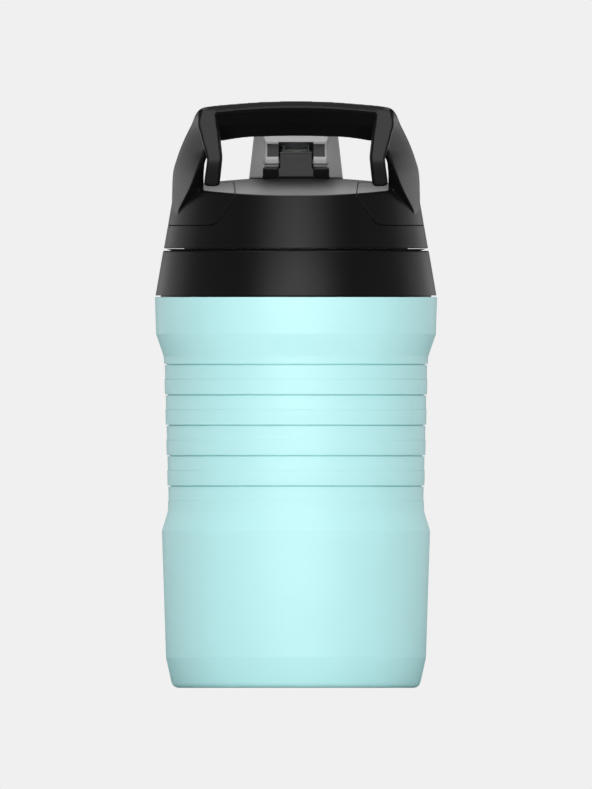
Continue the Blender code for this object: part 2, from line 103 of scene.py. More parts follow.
class JugLidSettings(bpy.types.PropertyGroup):
    """Colour of the black parts and the fineness of their edges."""
    colour: bpy.props.FloatVectorProperty(
        name="Lid colour", description="Colour of collar, lid and handle, in sRGB", subtype='COLOR_GAMMA',
        size=3, min=0, max=1, default=(0.055, 0.055, 0.057))
    cap_colour: bpy.props.FloatVectorProperty(
        name="Cap colour", description="Colour of the flip cap's hood, in sRGB", subtype='COLOR_GAMMA',
        size=3, min=0, max=1, default=(0.56, 0.56, 0.565))
    edge: bpy.props.FloatProperty(
        name="Edge radius", description="Radius of the lid's outer edge", default=0.0012, unit='LENGTH')


class JugHandleSettings(bpy.types.PropertyGroup):
    """Fineness of the handle's blended joints."""
    blend_grid: bpy.props.FloatProperty(
        name="Blend grid", description="Size of the grid on which joined shapes are blended",
        default=0.0004, unit='LENGTH', precision=5)
    relax: bpy.props.IntProperty(
        name="Blend rounds", description="Rounds of smoothing that leave the joints' small radii",
        default=5, min=0, max=30)


class JugStageSettings(bpy.types.PropertyGroup):
    """Brightness of the studio."""
    front: bpy.props.FloatProperty(
        name="Front wall", description="Power of the wide front light", default=9.9, unit='POWER')
    key: bpy.props.FloatProperty(
        name="Front strip", description="Power of the narrow front light", default=1.1, unit='POWER')
    sides: bpy.props.FloatProperty(
        name="Side walls", description="Power of each rear side light", default=2.2, unit='POWER')
    fill: bpy.props.FloatProperty(
        name="Side fill", description="Power of each dim front side light", default=0.4, unit='POWER')
    backdrop: bpy.props.FloatProperty(
        name="Backdrop", description="Power of the pale wall behind", default=1.15, unit='POWER')
    top: bpy.props.FloatProperty(
        name="Ceiling", description="Power of the overhead light", default=9.0, unit='POWER')
    back: bpy.props.FloatProperty(
        name="High back", description="Power of the light above and behind", default=3.4, unit='POWER')


# ---------------------------------------------------------------- materials

def linear(code):
    """Linear colour from an sRGB hex code or from three sRGB shares."""
    shares = [int(code[i:i + 2], 16) / 255 for i in (0, 2, 4)] if isinstance(code, str) else list(code)
    return [c / 12.92 if c <= 0.04045 else ((c + 0.055) / 1.055) ** 2.4 for c in shares] + [1.0]


def add_node(tree, kind, inputs=None):
    """Add one node; an input takes a value, or a socket to link from."""
    made = tree.nodes.new(kind)
    for name, value in (inputs or {}).items():
        if isinstance(value, bpy.types.NodeSocket):
            tree.links.new(value, made.inputs[name])
        else:
            made.inputs[name].default_value = value
    return made


def new_material(name, values):
    """A new material's tree and shader, with the shader's named inputs set."""
    material = bpy.data.materials.new(name)
    material.use_nodes = True
    tree = material.node_tree
    shader = tree.nodes["Principled BSDF"]
    for label, value in values.items():
        shader.inputs[label].default_value = value
    return tree, shader


def vary_roughness(tree, shader, noise, middle, change):
    """Let a noise move the roughness to both sides of its middle value."""
    rough = add_node(tree, "ShaderNodeMapRange", {"Value": noise.outputs["Fac"], "To Min": middle - change,
                                                  "To Max": middle + change})
    tree.links.new(rough.outputs["Result"], shader.inputs["Roughness"])


def moulded_plastic(name, code, roughness, ior, grain_mm, relief, mottle, gloss_change, level, haze):
    """A moulded plastic: even colour with a faint flow mottle and the tool's fine grain as bump.

    level is the strength of its reflection; haze is the pale bloom that a fine grain shows at the rims."""
    tree, shader = new_material(name, {"IOR": ior, "Specular IOR Level": level, "Sheen Weight": haze,
                                       "Sheen Roughness": 0.35})
    place = add_node(tree, "ShaderNodeTexCoord").outputs["Object"]
    cloud = add_node(tree, "ShaderNodeTexNoise", {"Vector": place, "Scale": 28.0, "Detail": 3.0})
    base = Vector(linear(code)[:3])
    shade = add_node(tree, "ShaderNodeValToRGB", {"Fac": cloud.outputs["Fac"]})
    for stop, position, change in zip(shade.color_ramp.elements, (0.3, 0.7), (-mottle, mottle)):
        stop.position = position
        stop.color = [*(base * (1 + change)), 1]
    tree.links.new(shade.outputs["Color"], shader.inputs["Base Color"])
    grain = add_node(tree, "ShaderNodeTexNoise", {"Vector": place, "Scale": 1000.0 / grain_mm, "Detail": 2.0})
    vary_roughness(tree, shader, grain, roughness, gloss_change)
    bump = add_node(tree, "ShaderNodeBump", {"Height": grain.outputs["Fac"], "Strength": 1.0,
                                             "Distance": relief * MM})
    tree.links.new(bump.outputs["Normal"], shader.inputs["Normal"])


def satin_steel(name, code, roughness):
    """Drawn wire: a fine grain in the shine of the metal."""
    tree, shader = new_material(name, {"Metallic": 1.0, "Base Color": linear(code)})
    place = add_node(tree, "ShaderNodeTexCoord").outputs["Object"]
    lines = add_node(tree, "ShaderNodeTexNoise", {"Vector": place, "Scale": 2500.0, "Detail": 1.0})
    vary_roughness(tree, shader, lines, roughness, 0.08)


def finishes():
    """The object's materials, made once."""
    if "aqua blow-moulded polyethylene" in bpy.data.materials:
        return bpy.data.materials
    body = bpy.context.scene.jug_body
    lid = bpy.context.scene.jug_lid
    # name, colour, roughness, index of refraction, grain and relief in mm, mottle, gloss change, level, haze
    for row in (
            # Blow-moulded HDPE: waxy and satin, with the slight orange peel that the air-blown skin keeps.
            ("aqua blow-moulded polyethylene", body.colour, 0.42, 1.53, 1.1, 0.012, 0.012, 0.03, 0.35, 0.0),
            # Injection-moulded polypropylene in a spark-eroded tool: dull black with an even fine grain.
            ("black grained polypropylene", lid.colour, 0.36, 1.49, 0.7, 0.008, 0.05, 0.04, 0.2, 0.02),
            # The same resin in a smoother tool, as used on the hinge parts: a little glossier. On the grey
            # flip cap it is also painted shade on the plate, the parting line and the hollow.
            ("black smooth polypropylene", lid.colour, 0.3, 1.49, 0.9, 0.004, 0.03, 0.03, 0.2, 0.02),
            # The flip cap's resin, pigmented mid grey.
            ("grey smooth polypropylene", lid.cap_colour, 0.36, 1.49, 0.9, 0.004, 0.03, 0.03, 0.4, 0.0),
            # Unpigmented polypropylene: milky white and waxy.
            ("natural polypropylene", "E6E7E3", 0.4, 1.49, 1.2, 0.006, 0.01, 0.03, 0.5, 0.0),
            # Soft silicone: grey, dull and a little dusty.
            ("grey moulded silicone", "8E9294", 0.6, 1.41, 0.8, 0.006, 0.03, 0.05, 0.5, 0.0),
            # Poured urethane foam: matt cream with a coarse cellular grain.
            ("poured urethane foam", "E6D9AC", 0.9, 1.4, 1.5, 0.2, 0.06, 0.05, 0.5, 0.0)):
        moulded_plastic(*row)
    satin_steel("drawn stainless wire", "C6C8CA", 0.3)
    # Spring wire with its dark phosphate coat.
    satin_steel("phosphated spring wire", "4A4B4D", 0.42)
    return bpy.data.materials


# ---------------------------------------------------------------- shapes

def filleted(corners, steps=5, closed=True):
    """Round a polygon's corners with curves that touch both sides; each corner ends in its radius."""
    result = []
    places = [Vector(corner[:-1]) for corner in corners]
    count = len(corners)
    for k, here in enumerate(places):
        radius = corners[k][-1]
        if radius == 0 or (not closed and k in (0, count - 1)):
            result.append(tuple(here))
            continue
        before, after = places[k - 1] - here, places[(k + 1) % count] - here
        reach = radius * math.tan((math.pi - before.angle(after)) / 2)
        start = here + before.normalized() * min(reach, before.length * 0.48)
        end = here + after.normalized() * min(reach, after.length * 0.48)
        for step in range(steps + 1):
            t = step / steps
            result.append(tuple(start * (1 - t) ** 2 + here * (2 * t * (1 - t)) + end * t ** 2))
    return result


def grown(outline, amount):
    """Offset a closed anticlockwise outline outwards."""
    result = []
    for k, point in enumerate(outline):
        before, here, after = Vector(outline[k - 1]), Vector(point), Vector(outline[(k + 1) % len(outline)])
        a, b = (here - before).normalized(), (after - here).normalized()
        out_a, out_b = Vector((a.y, -a.x)), Vector((b.y, -b.x))
        middle = (out_a + out_b).normalized()
        result.append(tuple(here + middle * (amount / max(middle.dot(out_a), 0.3))))
    return result


def smooth(mesh, angle=30.0):
    """Shade a mesh smoothly, except over edges sharper than an angle."""
    mesh.shade_smooth()
    mesh.set_sharp_from_angle(angle=math.radians(angle))


def place_object(name, data):
    """Put a new object with this data into the scene."""
    thing = bpy.data.objects.new(name, data)
    bpy.context.scene.collection.objects.link(thing)
    return thing


def place_mesh(name, points, edges=(), faces=()):
    """Put a new object made of these points, in metres, into the scene."""
    mesh = bpy.data.meshes.new(name)
    mesh.from_pydata(points, edges, faces)
    return place_object(name, mesh)


def full_turn(sides):
    return [2 * math.pi * k / sides for k in range(sides)]


def skin(name, rings):
    """Join rings of points in order; a ring of one point is a pole, and open ends are filled."""
    bm = bmesh.new()
    made = [[bm.verts.new(Vector(p) * MM) for p in ring] for ring in rings]
    for a, b in zip(made, made[1:]):
        for k in range(max(len(a), len(b))):
            corners = (a[k % len(a)], a[(k + 1) % len(a)], b[(k + 1) % len(b)], b[k % len(b)])
            bm.faces.new(list(dict.fromkeys(corners)))
    for ring in (made[0], made[-1]):
        if len(ring) > 1:
            bm.faces.new(ring)
    bmesh.ops.recalc_face_normals(bm, faces=bm.faces)
    mesh = bpy.data.meshes.new(name)
    bm.to_mesh(mesh)
    bm.free()
    smooth(mesh)
    return place_object(name, mesh)


def prism(name, outline, low, high, axis='Z'):
    """A straight prism: an outline in the two other directions, run from low to high along axis."""
    turn = {'X': lambda a, b, c: (c, a, b), 'Y': lambda a, b, c: (a, c, b),
            'Z': lambda a, b, c: (a, b, c)}[axis]
    return skin(name, [[turn(a, b, c) for a, b in outline] for c in (low, high)])


def block(name, low, high):
    """A box between two opposite corners."""
    corners = [(low[0], low[1]), (high[0], low[1]), (high[0], high[1]), (low[0], high[1])]
    return prism(name, corners, low[2], high[2])


def rod(name, radius, start, end, edge=0.0):
    """A round bar along X on the hinge axis, with its end edges broken if asked."""
    ends = ((start, radius - edge), (start + edge, radius), (end - edge, radius), (end, radius - edge))
    return skin(name, [[(x, HINGE_Y + r * math.cos(t), HINGE_Z + r * math.sin(t)) for t in full_turn(48)]
                       for x, r in (ends if edge else ends[::2])])


def bake(thing, angle=30.0):
    """Replace an object's mesh by what its modifiers make of it."""
    graph = bpy.context.evaluated_depsgraph_get()
    mesh = bpy.data.meshes.new_from_object(thing.evaluated_get(graph), depsgraph=graph)
    thing.modifiers.clear()
    old = thing.data
    thing.data = mesh
    bpy.data.meshes.remove(old)
    mesh.name = thing.name
    smooth(mesh, angle)


def combine(thing, others, operation):
    """Cut or join other shapes and clear them away."""
    for other in others:
        modifier = thing.modifiers.new("combine", 'BOOLEAN')
        modifier.operation = operation
        modifier.solver = 'EXACT'
        modifier.object = other
        bake(thing)
        bpy.data.objects.remove(other)
    return thing


def gather(thing, others):
    """Take other closed shapes into one mesh as they are; a grid remesh then unites them."""
    bm = bmesh.new()
    for piece in (thing, *others):
        bm.from_mesh(piece.data)
    bm.to_mesh(thing.data)
    bm.free()
    for other in others:
        bpy.data.objects.remove(other)


def blend_edges(thing, grid, rounds, keep=1.0):
    """Remesh joined shapes on a fine grid and relax them, which leaves the small radii of a moulding.

    keep is the share of the faces that stays after flat stretches are thinned out."""
    remesh = thing.modifiers.new("grid", 'REMESH')
    remesh.mode = 'VOXEL'
    remesh.voxel_size = grid
    relax = thing.modifiers.new("relax", 'SMOOTH')
    relax.factor = 0.5
    relax.iterations = rounds
    if keep < 1:
        thin = thing.modifiers.new("thin", 'DECIMATE')
        thin.ratio = keep
    bake(thing, 60.0)


def dress(thing, material, body, record_slot, *nodes):
    """Give a finished piece its material and body, and hide the CAD nodes it stands for. record_slot is not
    used.
    """
    thing.data.materials.clear()
    thing.data.materials.append(finishes()[material])
    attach(thing, body)
    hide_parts(*nodes)


# ---------------------------------------------------------------- node trees

def new_tree(name, **kinds):
    """A node tree with these named inputs; an underscore in a name stands for a space."""
    tree = bpy.data.node_groups.new(name, 'GeometryNodeTree')
    for label, kind in kinds.items():
        tree.interface.new_socket(label.replace("_", " "), in_out='INPUT', socket_type='NodeSocket' + kind)
    tree.interface.new_socket("Geometry", in_out='OUTPUT', socket_type='NodeSocketGeometry')
    return tree, add_node(tree, "NodeGroupInput").outputs


def close_tree(tree, geometry, material):
    """End a tree in Realize Instances and Set Material."""
    real = add_node(tree, "GeometryNodeRealizeInstances", {"Geometry": geometry})
    finished = add_node(tree, "GeometryNodeSetMaterial", {"Geometry": real.outputs["Geometry"],
                                                          "Material": material})
    add_node(tree, "NodeGroupOutput", {"Geometry": finished.outputs["Geometry"]})


def turning_tree():
    """Sweep a flat profile round the upright axis, as a lathe or a ring mould shapes it."""
    name = "Turn a profile"
    if name in bpy.data.node_groups:
        return bpy.data.node_groups[name]
    tree, given = new_tree(name, Profile='Geometry', Hub_radius='Float', Sides='Int', Material='Material')
    circle = add_node(tree, "GeometryNodeCurvePrimitiveCircle", {"Resolution": given["Sides"],
                                                                 "Radius": given["Hub radius"]})
    profile = add_node(tree, "GeometryNodeMeshToCurve", {"Mesh": given["Profile"]})
    swept = add_node(tree, "GeometryNodeCurveToMesh", {"Curve": circle.outputs["Curve"],
                                                       "Profile Curve": profile.outputs["Curve"]})
    joined = add_node(tree, "GeometryNodeMergeByDistance", {"Geometry": swept.outputs["Mesh"],
                                                            "Distance": 0.000001})
    close_tree(tree, joined.outputs["Geometry"], given["Material"])
    return tree


def coil_tree():
    """Wind a round wire into a helix of even pitch."""
    name = "Wind a coil"
    if name in bpy.data.node_groups:
        return bpy.data.node_groups[name]
    tree, given = new_tree(name, Start='Geometry', Turns='Float', Coil_radius='Float', Length='Float',
                           Wire_radius='Float', Material='Material')
    spiral = add_node(tree, "GeometryNodeCurveSpiral", {"Resolution": 32, "Rotations": given["Turns"],
                                                        "Start Radius": given["Coil radius"],
                                                        "End Radius": given["Coil radius"],
                                                        "Height": given["Length"]})
    section = add_node(tree, "GeometryNodeCurvePrimitiveCircle", {"Resolution": 12,
                                                                  "Radius": given["Wire radius"]})
    wire = add_node(tree, "GeometryNodeCurveToMesh", {"Curve": spiral.outputs["Curve"],
                                                      "Profile Curve": section.outputs["Curve"],
                                                      "Fill Caps": True})
    close_tree(tree, wire.outputs["Mesh"], given["Material"])
    return tree


def scatter_tree():
    """Set a copy of one piece on every given point."""
    name = "Set copies on points"
    if name in bpy.data.node_groups:
        return bpy.data.node_groups[name]
    tree, given = new_tree(name, Points='Geometry', Piece='Object', Material='Material')
    piece = add_node(tree, "GeometryNodeObjectInfo", {"Object": given["Piece"]})
    spread = add_node(tree, "GeometryNodeInstanceOnPoints", {"Points": given["Points"],
                                                             "Instance": piece.outputs["Geometry"]})
    close_tree(tree, spread.outputs["Instances"], given["Material"])
    return tree


def run_tree(thing, tree, values):
    """Set a node tree's named inputs on an object and bake what it makes."""
    modifier = thing.modifiers.new(tree.name, 'NODES')
    modifier.node_group = tree
    for item in tree.interface.items_tree:
        if item.name in values:
            modifier[item.identifier] = values[item.name]
    bake(thing)


def outward(thing):
    """Merge doubles and turn every face outwards."""
    bm = bmesh.new()
    bm.from_mesh(thing.data)
    bmesh.ops.remove_doubles(bm, verts=bm.verts, dist=0.000001)
    bmesh.ops.recalc_face_normals(bm, faces=bm.faces)
    bm.to_mesh(thing.data)
    bm.free()
    thing.data.set_sharp_from_angle(angle=math.radians(30))
    return thing


def turned(name, profile, sides=ROUND, centre=(0.0, 0.0), material="natural polypropylene"):
    """A piece turned about an upright axis from a closed profile of (radius, height)."""
    count = len(profile)
    last = count if profile[0][0] > 0 else count - 1
    thing = place_mesh(name, [((r - HUB) * MM, -z * MM, 0) for r, z in profile],
                       [(k, (k + 1) % count) for k in range(last)])
    run_tree(thing, turning_tree(), {"Hub radius": HUB * MM, "Sides": sides,
                                     "Material": finishes()[material]})
    for vertex in thing.data.vertices:
        vertex.co.x += centre[0] * MM
        vertex.co.y += centre[1] * MM
    return outward(thing)


# ---------------------------------------------------------------- body

def groove_corners(settings):
    """The grip's corners from the lowest groove up: a soft step below and a narrow undercut slit above."""
    corners = []
    for k in reversed(range(settings.grooves)):
        top = GROOVE_TOP - k * settings.groove_pitch / MM
        bottom = top - settings.groove_height / MM
        ridge_above = GRIP_RADIUS - 0.45 * k
        floor_top = ridge_above - 0.42
        floor_bottom = floor_top - 0.13
        ridge_below = ridge_above - 0.25
        slit = floor_top - 1.2
        corners += [(ridge_below, bottom - 0.3, 0.12), (floor_bottom, bottom + 0.25, 0.08),
                    (floor_top, top - 0.35, 0.1), (slit, top - 0.22, 0.08), (slit, top + 0.25, 0.08),
                    (ridge_above, top + 0.36, 0.08)]
    return corners


def shell_profile(settings):
    outside = [(46.0, 0.0, 0.8), (62.9, 0.0, 4.2), (66.3, 15.5, 1.2), (68.36, 80.0, 0.9), (65.25, 90.2, 9.0)]
    outside += groove_corners(settings)
    outside += [(67.44, 169.0, 4.5), (71.38, 180.5, 1.0), (71.95, 199.3, 0.6)]
    inside = [(69.45, 199.3, 0.5), (69.2, 184.0, 0), (66.0, 172.0, 0), (62.3, 166.0, 0), (62.3, 92.0, 0),
              (65.4, 80.0, 0), (63.8, 15.5, 0), (60.5, 3.0, 1.0), (48.0, 3.0, 0), (44.0, 6.0, 0),
              (8.0, 6.0, 0), (8.0, 3.2, 0.3), (42.0, 3.2, 1.0)]
    return filleted(outside + inside)


class JUG_OT_body(bpy.types.Operator):
    """Turn the aqua body shell with its grip grooves, and the plug in its base"""
    bl_idname = "jug.body"
    bl_label = "Body shell"

    def execute(self, context):
        shell = turned("body_shell", shell_profile(context.scene.jug_body))
        dress(shell, "aqua blow-moulded polyethylene", "jug", "aqua_body", "outer_shell")
        plug = turned("base_plug", filleted([(0, 3.6, 0), (7.7, 3.6, 0.4), (7.7, 5.9, 0.2), (0, 5.9, 0)],
                                            closed=False), 64)
        dress(plug, "aqua blow-moulded polyethylene", "jug", "aqua_body", "fill_plug")
        return {'FINISHED'}


class JUG_OT_collar(bpy.types.Operator):
    """Turn the black collar that clamps the shell to the neck"""
    bl_idname = "jug.collar"
    bl_label = "Neck collar"

    def execute(self, context):
        collar = turned("collar", filleted([
            (71.64, 200.1, 0.25), (67.72, 222.95, 0.9), (63.6, 222.95, 0), (66.0, 223.75, 0),
            (66.0, 223.9, 0), (57.5, 223.9, 0.2), (57.5, 219.8, 0), (64.6, 219.8, 0), (66.6, 213.0, 0),
            (66.6, 194.0, 0.3), (69.0, 194.0, 0.3), (69.0, 200.1, 0)]))
        dress(collar, "black grained polypropylene", "jug", "black_lid", "neck_collar")
        return {'FINISHED'}


def thread_ridge(root, crest, start_z, start_turn):
    """One helical thread ridge with faded ends."""
    steps = int(THREAD_TURNS * 96)
    bury = 0.5 if crest > root else -0.5
    rings = []
    for k in range(steps + 1):
        fade = min(1.0, 0.15 + min(k, steps - k) / 10)
        turn = 2 * math.pi * (start_turn + k / 96)
        z = start_z + THREAD_LEAD * k / 96
        reach = root + (crest - root) * fade
        section = ((root - bury, -1.9), (reach, -0.6), (reach, 0.6), (root - bury, 1.9))
        rings.append([(r * math.cos(turn), r * math.sin(turn), z + dz) for r, dz in section])
    return skin("ridge", rings)


class JUG_OT_liner(bpy.types.Operator):
    """Turn the drink cup and cut the screw thread on its neck"""
    bl_idname = "jug.liner"
    bl_label = "Drink cup"

    def execute(self, context):
        cup = turned("drink_cup", filleted([
            (0, 11.4, 0), (56.3, 11.4, 3.0), (56.3, 216.4, 0.3), (57.9, 216.8, 0.3), (57.9, 219.4, 0.3),
            (57.0, 219.4, 0), (57.0, 224.6, 0.3), (55.0, 225.4, 0.3), (55.0, 239.5, 0.7), (52.0, 239.5, 0.7),
            (52.0, 221.0, 3.0), (54.3, 213.0, 3.0), (54.3, 13.4, 4.0), (0, 13.4, 0)], closed=False))
        combine(cup, [thread_ridge(55.0, 56.5, 229.0, 0.0)], 'UNION')
        dress(cup, "natural polypropylene", "jug", "food_plastic", "inner_liner")
        return {'FINISHED'}


# ---------------------------------------------------------------- lid

def deck_height(x, y, depth):
    return DECK_TOP - DECK_DROP_X * x * x - DECK_DROP_Y * y * y - depth


def lid_meridian(turn, depth, edge, bottom):
    """One upright slice of the lid's outside: up the cone, round its edge and over the deck."""
    z = DECK_TOP
    for _ in range(20):
        r = LID_BOTTOM_R - (z - LID_BOTTOM) * CONE_SLOPE - depth
        z = deck_height(r * math.cos(turn), r * math.sin(turn), depth)
    corners = [(LID_BOTTOM_R - (bottom - LID_BOTTOM) * CONE_SLOPE - depth, bottom, 0), (r, z, edge)]
    for share in (0.93, 0.82, 0.7, 0.56, 0.42, 0.28, 0.14, 0.05):
        x, y = r * share * math.cos(turn), r * share * math.sin(turn)
        corners.append((r * share, deck_height(x, y, depth), 0))
    return filleted(corners, 6, closed=False)


def lid_rings(depth, edge, bottom, sides=ROUND):
    """Rings of the lid's outside form from its bottom edge to its crown."""
    turns = full_turn(sides)
    slices = [lid_meridian(t, depth, edge, bottom) for t in turns]
    rings = []
    for level in range(len(slices[0])):
        rings.append([(s[level][0] * math.cos(t), s[level][0] * math.sin(t), s[level][1])
                      for s, t in zip(slices, turns)])
    return rings + [[(0, 0, DECK_TOP - depth)]]


def foot_region(side, spread):
    """The space of one inset handle foot: its outline from above, cut by its outline from the front."""
    plan = filleted([(30.0, -80, 0), (80, -80, 0), (80, 9, 0), (61.0, 3.0, 0), (50.0, -6.0, 4),
                     (38.0, -15.6, 5), (31.8, -21.5, 6)], 5)
    front = filleted([(80, 235.7, 0), (80, 290, 0), (30.2, 290, 0), (30.2, 251.5, 4), (36.7, 242.2, 5),
                      (41.2, 235.7, 7)], 5)
    above = prism("foot_plan", [(side * x, y) for x, y in grown(plan, spread)], 228, 292)
    forward = prism("foot_front", [(side * x, z) for x, z in grown(front, spread)], -90, 40, 'Y')
    return combine(above, [forward], 'INTERSECT')


def spout_hole(low, high):
    """The cutter for the spout's hole between two heights."""
    return turned("hole", [(0, low), (SPOUT_HOLE_R, low), (SPOUT_HOLE_R, high), (0, high)], 64, (0, SPOUT_Y))


class JUG_OT_lid(bpy.types.Operator):
    """Make the conical screw lid with its domed deck, foot pockets, spout hole and button notch"""
    bl_idname = "jug.lid"
    bl_label = "Screw lid"

    def execute(self, context):
        edge = context.scene.jug_lid.edge / MM
        rim = [[(x * 0.996, y * 0.996, z) for x, y, z in lid_rings(0, edge, LID_BOTTOM)[0]]]
        outer = rim + lid_rings(0, edge, LID_BOTTOM + 0.3)
        inner = lid_rings(LID_SKIN, 0.0, LID_BOTTOM)
        lid = skin("screw_lid", outer[::-1] + inner)
        for side in (1, -1):
            core = skin("core", lid_rings(FOOT_DEPTH + SEAM, edge, LID_BOTTOM - 8))
            combine(lid, [combine(foot_region(side, SEAM), [core], 'DIFFERENCE')], 'DIFFERENCE')
        notch = block("notch", (-10.0, 47.8, 245.4), (10.0, 75, 275))
        combine(lid, [spout_hole(240, 270), notch], 'DIFFERENCE')
        combine(lid, [block("seat", (-4.0, 40.0, 245.2), (4.0, 42.4, 253.4))], 'UNION')
        dress(lid, "black grained polypropylene", "lid", "black_lid", "lid_shell")
        return {'FINISHED'}


class JUG_OT_under_lid(bpy.types.Operator):
    """Make the inner lid, the gasket, the spout and the screws under the deck"""
    bl_idname = "jug.under_lid"
    bl_label = "Inner lid, seals and spout"

    def execute(self, context):
        inner = turned("inner_lid", filleted([
            (0, 241.5, 0), (57.6, 241.5, 0), (57.6, 225.2, 0.3), (59.2, 225.2, 0.3), (59.2, 244.0, 0.6),
            (0, 244.0, 0)], closed=False))
        combine(inner, [thread_ridge(57.6, 55.6, 227.5, 0.25)], 'UNION')
        combine(inner, [spout_hole(235, 250)], 'DIFFERENCE')
        dress(inner, "natural polypropylene", "lid", "food_plastic", "lid_liner")
        gasket = turned("rim_gasket", filleted([(51.2, 239.8, 0.4), (55.2, 239.8, 0.4), (55.2, 241.2, 0.4),
                                                (51.2, 241.2, 0.4)]))
        dress(gasket, "grey moulded silicone", "seal_carrier", "grey_silicone", "lid_gasket")
        spout = turned("drinking_spout", filleted([
            (6.0, 238.0, 0.6), (13.0, 238.0, 0.6), (13.0, 241.2, 0.4), (9.0, 241.2, 0), (9.0, 262.0, 8.0),
            (8.1, 275.0, 1.2), (6.0, 275.0, 1.0)]), 96, (0, SPOUT_Y))
        dress(spout, "natural polypropylene", "lid", "food_plastic", "spout")
        self.make_screws()
        return {'FINISHED'}

    def make_screws(self):
        """Four identical screws, set on their points; their heads sit under the deck."""
        spots = [((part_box(f"handle_screw_{k}")[0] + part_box(f"handle_screw_{k}")[1]) / 2) / MM
                 for k in range(1, 5)]
        low, high = (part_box("handle_screw_1")[k].z / MM - spots[0].z for k in (0, 1))
        screw = turned("screw", filleted([
            (0, low, 0), (3.4, low, 0.5), (5.2, low + 1.4, 0.3), (5.2, low + 2.0, 0.2), (1.6, low + 2.0, 0.2),
            (1.6, high, 0.4), (0, high, 0)], closed=False), 48, material="drawn stainless wire")
        recess = block("recess", (-2.2, -0.5, low - 1), (2.2, 0.5, low + 0.9))
        across = block("recess", (-0.5, -2.2, low - 1), (0.5, 2.2, low + 0.9))
        combine(screw, [recess, across], 'DIFFERENCE')
        screws = place_mesh("handle_screws", [tuple(spot * MM) for spot in spots])
        run_tree(screws, scatter_tree(), {"Piece": screw, "Material": finishes()["drawn stainless wire"]})
        bpy.data.objects.remove(screw)
        dress(screws, "drawn stainless wire", "lid", "steel", "handle_screw_1", "handle_screw_2",
              "handle_screw_3", "handle_screw_4")


# ---------------------------------------------------------------- handle

# One half of the carrying strap, from the foot over the shoulder to the middle of the grip: front edge,
# middle and rear edge of its outside face, then the inside face's rear and front edge.
STRAP = (
    ((60.6, -21.5, 240.5), (62.6, -12.0, 241.0), (63.4, -5.0, 241.0),
     (57.5, -5.0, 241.0), (55.0, -21.0, 240.5)),
    ((59.6, -26.2, 244.2), (62.7, -12.6, 245.5), (63.2, -5.0, 245.5),
     (57.3, -5.0, 245.5), (53.5, -25.5, 244.2)),
    ((57.4, -32.6, 248.5), (62.4, -13.5, 250.0), (62.9, -5.3, 250.2),
     (57.0, -5.3, 250.2), (51.5, -31.5, 248.5)),
    ((55.2, -38.8, 252.8), (62.0, -14.0, 254.5), (62.7, -5.8, 254.4),
     (56.8, -5.8, 254.4), (47.6, -35.6, 252.4)),
    ((53.1, -43.2, 257.2), (61.7, -14.8, 259.0), (62.3, -6.6, 258.2),
     (56.4, -6.6, 258.2), (46.9, -36.4, 257.2)),
    ((51.0, -46.2, 262.7), (61.2, -16.5, 264.3), (61.4, -8.5, 262.5),
     (55.6, -8.5, 262.0), (46.8, -40.2, 262.7)),
    ((49.0, -47.6, 268.5), (59.9, -19.5, 269.5), (59.8, -11.5, 266.5),
     (54.2, -11.5, 265.2), (46.1, -45.4, 268.5)),
    ((46.8, -48.8, 275.0), (58.0, -23.5, 276.0), (56.8, -15.8, 271.6),
     (51.6, -15.8, 269.0), (43.8, -46.6, 273.4)),
    ((47.4, -49.0, 281.5), (55.7, -27.8, 282.3), (53.3, -19.8, 276.2),
     (48.6, -19.8, 272.6), (43.0, -46.6, 278.3)),
    ((49.4, -49.2, 287.6), (52.9, -32.0, 287.9), (49.8, -22.6, 279.4),
     (45.8, -22.6, 275.2), (43.6, -46.6, 284.4)),
    ((49.6, -49.2, 292.0), (51.2, -34.2, 290.8), (46.6, -24.6, 282.4),
     (43.2, -24.6, 277.4), (43.0, -46.6, 287.8)),
    ((48.3, -49.3, 295.4), (48.2, -36.3, 292.5), (43.0, -25.6, 283.8),
     (40.6, -25.6, 278.1), (42.4, -47.5, 290.2)),
    ((43.5, -49.5, 296.9), (42.0, -37.8, 292.5), (37.5, -26.4, 284.5),
     (37.0, -26.4, 278.5), (42.0, -49.0, 291.1)),
    ((30.0, -49.8, 298.3), (29.0, -38.4, 293.2), (26.0, -27.0, 286.4),
     (26.0, -27.0, 280.2), (30.0, -49.8, 292.5)),
    ((15.0, -50.0, 299.3), (14.5, -38.7, 293.9), (13.0, -27.2, 286.85),
     (13.0, -27.2, 280.7), (15.0, -50.0, 293.5)),
    ((0.0, -50.0, 299.6), (0.0, -38.8, 294.2), (0.0, -27.3, 287.0),
     (0.0, -27.3, 280.9), (0.0, -50.0, 293.8)),
)

# Each prong from the grip down to its free end: height, inner and outer x, front and rear y.
PRONG = (
    (295.0, 41.2, 48.6, -49.4, -44.0),
    (288.0, 40.4, 50.1, -49.8, -43.6),
    (283.0, 39.6, 48.9, -50.2, -44.6),
    (278.8, 39.2, 47.9, -50.5, -45.6),
    (271.0, 38.4, 45.7, -51.0, -46.6),
    (267.5, 38.6, 45.6, -50.8, -46.5),
    (258.4, 39.5, 46.8, -48.3, -44.8),
    (256.7, 39.7, 46.5, -47.8, -44.9),
    (255.8, 41.0, 45.0, -47.5, -45.2),
)
PRONG_DRAFT = 1.2                  # how much a prong's inner side widens towards its back


def smooth_between(stations, steps):
    """Pass a smooth curve through stations, each a list of vectors, with steps between each pair."""
    result = []
    for k in range(len(stations) - 1):
        p0, p1 = stations[max(k - 1, 0)], stations[k]
        p2, p3 = stations[k + 1], stations[min(k + 2, len(stations) - 1)]
        for step in range(steps):
            t = step / steps
            result.append([0.5 * (2 * b + (c - a) * t + (2 * a - 5 * b + 4 * c - d) * t * t
                                  + (3 * b - a - 3 * c + d) * t ** 3)
                           for a, b, c, d in zip(p0, p1, p2, p3)])
    return result + [stations[-1]]


